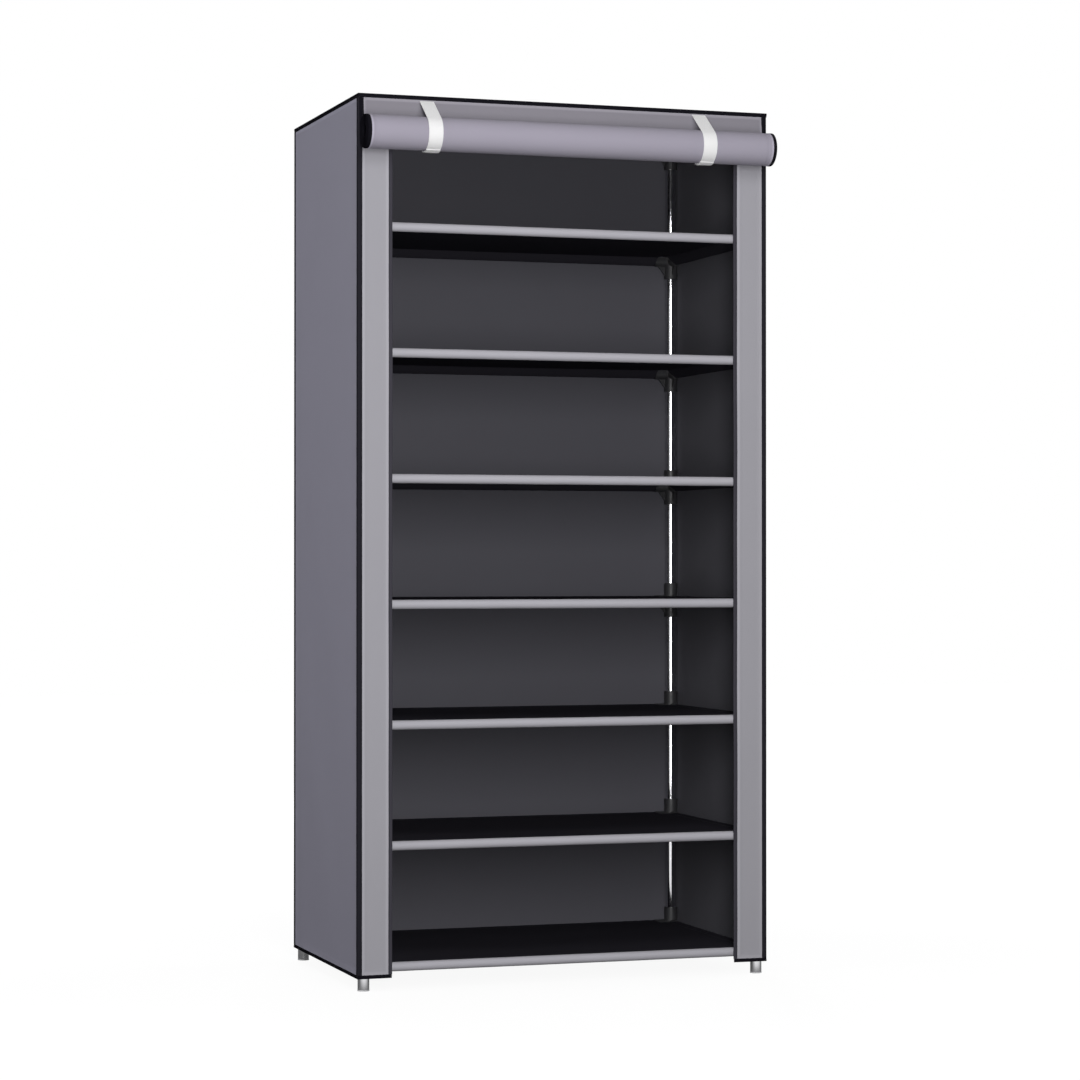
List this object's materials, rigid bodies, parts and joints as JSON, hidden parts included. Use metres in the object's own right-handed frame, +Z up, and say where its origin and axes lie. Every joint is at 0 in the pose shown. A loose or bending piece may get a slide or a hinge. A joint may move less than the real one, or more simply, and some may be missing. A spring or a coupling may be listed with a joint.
{
  "type": "fabric storage rack",
  "caption": "Free-standing tube rack of cloth shelves in a fabric cover, open at the front, with a roll-up front curtain held by two straps.",
  "frame": {"origin": "on the floor, in the middle of the rack's outer box", "axes": "+Z up; the open front faces -Y; +X is to the right of someone who faces the front"},
  "size_m": [0.6016, 0.4111, 1.2238],
  "materials": {
    "steel_tube": "bright plated steel tube",
    "socket_plastic": "charcoal moulded plastic, fine texture",
    "plug_plastic": "pale grey soft plastic",
    "shelf_cloth": "black non-woven cloth",
    "front_cloth": "mid grey non-woven cloth, embossed",
    "cover_cloth": "grey non-woven cloth, embossed, charcoal inside",
    "binding_tape": "black folded binding tape",
    "strap_webbing": "white woven tape"
  },
  "bodies": {
    "rack": {"level_1_connectors": "socket_plastic", "level_2_connectors": "socket_plastic", "level_3_connectors": "socket_plastic", "level_4_connectors": "socket_plastic", "level_5_connectors": "socket_plastic", "level_6_connectors": "socket_plastic", "level_7_connectors": "socket_plastic", "level_8_connectors": "socket_plastic", "level_1_long_rails": "steel_tube", "level_2_long_rails": "steel_tube", "level_3_long_rails": "steel_tube", "level_4_long_rails": "steel_tube", "level_5_long_rails": "steel_tube", "level_6_long_rails": "steel_tube", "level_7_long_rails": "steel_tube", "level_8_long_rails": "steel_tube", "tier_1_posts": "steel_tube", "tier_2_posts": "steel_tube", "tier_3_posts": "steel_tube", "tier_4_posts": "steel_tube", "tier_5_posts": "steel_tube", "tier_6_posts": "steel_tube", "tier_7_posts": "steel_tube", "shelf_1_sheet": "shelf_cloth", "shelf_2_sheet": "shelf_cloth", "shelf_3_sheet": "shelf_cloth", "shelf_4_sheet": "shelf_cloth", "shelf_5_sheet": "shelf_cloth", "shelf_6_sheet": "shelf_cloth", "shelf_7_sheet": "shelf_cloth", "shelf_1_front_sleeve": "front_cloth", "shelf_2_front_sleeve": "front_cloth", "shelf_3_front_sleeve": "front_cloth", "shelf_4_front_sleeve": "front_cloth", "shelf_5_front_sleeve": "front_cloth", "shelf_6_front_sleeve": "front_cloth", "shelf_7_front_sleeve": "front_cloth", "left_side_rails": "steel_tube", "right_side_rails": "steel_tube", "legs": "steel_tube", "foot_plugs": "plug_plastic", "left_panel": "cover_cloth", "right_panel": "cover_cloth", "back_panel": "cover_cloth", "roof_panel": "cover_cloth", "left_flap": "front_cloth", "right_flap": "front_cloth", "roof_binding": "binding_tape", "corner_bindings": "binding_tape", "bottom_binding": "binding_tape", "flap_bindings": "binding_tape", "curtain_top": "front_cloth", "curtain_top_bindings": "binding_tape", "strap_fronts": "strap_webbing", "strap_backs": "strap_webbing", "strap_pads": "strap_webbing"},
    "curtain": {"curtain_roll": "front_cloth", "curtain_roll_bindings": "binding_tape", "curtain_hem": "binding_tape"}
  },
  "joints": [
    {"name": "curtain_drop", "type": "slide", "parent": "rack", "child": "curtain", "axis": [0, 0, -1], "range_m": [0, 1.127], "deforming": ["curtain_top", "curtain_top_bindings", "strap_fronts", "strap_backs", "strap_pads"]}
  ]
}
